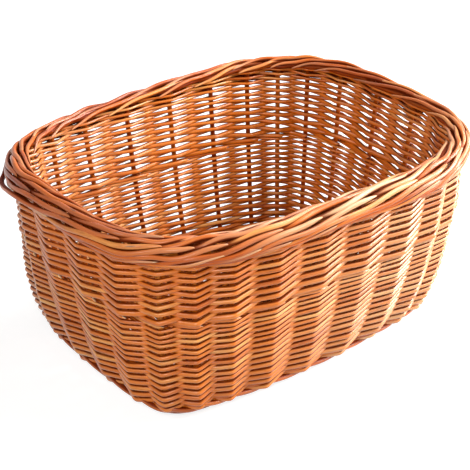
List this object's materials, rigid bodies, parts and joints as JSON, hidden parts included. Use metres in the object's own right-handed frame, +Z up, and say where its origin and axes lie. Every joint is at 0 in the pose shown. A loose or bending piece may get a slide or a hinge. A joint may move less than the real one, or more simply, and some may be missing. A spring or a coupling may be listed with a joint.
{
  "type": "bicycle basket",
  "caption": "Open rectangular wicker bicycle basket with flared woven walls, a rolled rim of laid-down rods and a woven stick base.",
  "frame": {"origin": "middle of the underside, on the surface that the basket stands on", "axes": "+Z up, +X along the basket's length, -Y towards the long wall that the picture shows in front"},
  "size_m": [0.3994, 0.3078, 0.1849],
  "materials": {
    "willow": "gloss",
    "stake_willow": "gloss",
    "base_willow": "satin"
  },
  "bodies": {
    "root": {"base_stick_1": "base_willow", "base_stick_2": "base_willow", "base_stick_3": "base_willow", "base_stick_4": "base_willow", "base_stick_5": "base_willow", "base_stick_6": "base_willow", "base_stick_7": "base_willow", "base_weaver_left": "base_willow", "base_weaver_right": "base_willow", "foot_wale_rod_1": "willow", "foot_wale_rod_2": "willow", "foot_wale_rod_3": "willow", "lower_weaver_1": "willow", "lower_weaver_2": "willow", "lower_weaver_3": "willow", "lower_weaver_4": "willow", "lower_weaver_5": "willow", "lower_weaver_6": "willow", "lower_weaver_7": "willow", "lower_weaver_8": "willow", "lower_weaver_9": "willow", "lower_weaver_10": "willow", "lower_weaver_11": "willow", "lower_weaver_12": "willow", "upper_weaver_1": "willow", "upper_weaver_2": "willow", "upper_weaver_3": "willow", "upper_weaver_4": "willow", "upper_weaver_5": "willow", "upper_weaver_6": "willow", "upper_weaver_7": "willow", "upper_weaver_8": "willow", "stake_01": "stake_willow", "stake_02": "stake_willow", "stake_03": "stake_willow", "stake_04": "stake_willow", "stake_05": "stake_willow", "stake_06": "stake_willow", "stake_07": "stake_willow", "stake_08": "stake_willow", "stake_09": "stake_willow", "stake_10": "stake_willow", "stake_11": "stake_willow", "stake_12": "stake_willow", "stake_13": "stake_willow", "stake_14": "stake_willow", "stake_15": "stake_willow", "stake_16": "stake_willow", "stake_17": "stake_willow", "stake_18": "stake_willow", "stake_19": "stake_willow", "stake_20": "stake_willow", "stake_21": "stake_willow", "stake_22": "stake_willow", "stake_23": "stake_willow", "stake_24": "stake_willow", "stake_25": "stake_willow", "stake_26": "stake_willow", "stake_27": "stake_willow", "stake_28": "stake_willow"}
  },
  "joints": []
}
